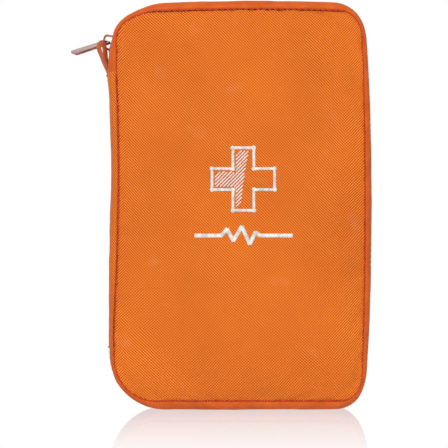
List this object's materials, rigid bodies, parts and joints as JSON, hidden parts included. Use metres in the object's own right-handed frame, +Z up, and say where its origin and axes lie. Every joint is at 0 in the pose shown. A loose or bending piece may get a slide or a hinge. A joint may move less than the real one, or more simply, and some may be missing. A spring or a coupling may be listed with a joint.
{
  "type": "first aid kit",
  "caption": "Soft zip-round first aid pouch that opens like a book on a fabric spine, with foam-padded shells, inner pockets, elastic loops and packed dressings and tools.",
  "frame": {"origin": "centre of the bounding box in X and Y, at the level of the bottom edge it stands on", "axes": "+Z up along the spine, -Y the front panel, -X the spine side, +X the zip side"},
  "size_m": [0.1478, 0.0448, 0.2],
  "materials": {
    "oxford_fabric": "woven",
    "side_fabric": "smooth woven",
    "foam": "open",
    "lining": "matte",
    "binding": "ribbed",
    "zip_tape": "woven",
    "zip_coil": "satin",
    "zip_metal": "gloss",
    "elastic": "ribbed",
    "net": "mesh",
    "clear_vinyl": "clear",
    "crepe": "crinkled",
    "gauze": "open weave",
    "packet_paper": "matte",
    "cloth_tape": "matte",
    "card_core": "matte",
    "foil": "metallised",
    "plaster": "matte",
    "tool_steel": "satin",
    "handle_plastic": "gloss"
  },
  "bodies": {
    "back_shell": {"back_panel": "oxford_fabric", "back_foam_pad": "foam", "back_lining": "lining", "back_seam_binding": "binding", "back_gusset": "side_fabric", "back_spine": "oxford_fabric", "back_zip_tape": "zip_tape", "back_zip_coil": "zip_coil", "crepe_bandage_roll": "crepe", "gauze_bandage_roll": "gauze", "sticking_tape": "cloth_tape", "tape_core": "card_core", "foil_blanket": "foil", "triangular_bandage": "packet_paper", "tweezers_arm_back": "tool_steel", "tweezers_arm_front": "tool_steel", "scissors_left_blade": "tool_steel", "scissors_left_handle": "handle_plastic", "scissors_rivet": "tool_steel", "elastic_band": "elastic"},
    "cover": {"front_panel": "oxford_fabric", "front_foam_pad": "foam", "front_lining": "lining", "front_seam_binding": "binding", "front_gusset": "side_fabric", "front_spine": "oxford_fabric", "front_zip_tape": "zip_tape", "front_zip_coil": "zip_coil", "net_pocket": "net", "net_pocket_hem": "binding", "clear_pocket": "clear_vinyl", "guide_leaflet": "packet_paper", "gloves_packet": "packet_paper", "dressing_packet": "packet_paper", "plaster_1": "plaster", "plaster_2": "plaster", "plaster_3": "plaster", "plaster_4": "plaster"},
    "fold": {"spine_fold": "oxford_fabric", "hang_loop": "zip_tape", "zip_top_end_tape_front": "zip_tape", "zip_top_end_tape_back": "zip_tape", "zip_top_stop": "zip_metal", "zip_bottom_end_tape_front": "zip_tape", "zip_bottom_end_tape_back": "zip_tape", "zip_bottom_stop": "zip_metal"},
    "slider": {"zip_slider": "zip_metal"},
    "pull": {"zip_pull": "zip_metal"},
    "scissors_half": {"scissors_right_blade": "tool_steel", "scissors_right_handle": "handle_plastic"}
  },
  "joints": [
    {"name": "spine_hinge", "type": "hinge", "parent": "back_shell", "child": "fold", "pos_m": [-0.05393, 0.01225, 0.1], "axis": [0, 0, -1], "range_deg": [0, 90]},
    {"name": "cover_hinge", "type": "hinge", "parent": "fold", "child": "cover", "pos_m": [-0.05393, -0.01225, 0.1], "axis": [0, 0, -1], "range_deg": [0, 90]},
    {"name": "slider_travel", "type": "hinge", "parent": "fold", "child": "slider", "pos_m": [-0.02693, 0, 0.173], "axis": [0, 1, 0], "range_deg": [-6, 10]},
    {"name": "pull_swing", "type": "hinge", "parent": "slider", "child": "pull", "pos_m": [-0.05584, 0, 0.18102], "axis": [0, 1, 0], "range_deg": [-45, 110]},
    {"name": "scissors_pivot", "type": "hinge", "parent": "back_shell", "child": "scissors_half", "pos_m": [0.02007, 0.013, 0.136], "axis": [0, -1, 0], "range_deg": [0, 20]}
  ],
  "couplings": [
    {"joint": "cover_hinge", "follows": "spine_hinge", "ratio": 1}
  ]
}
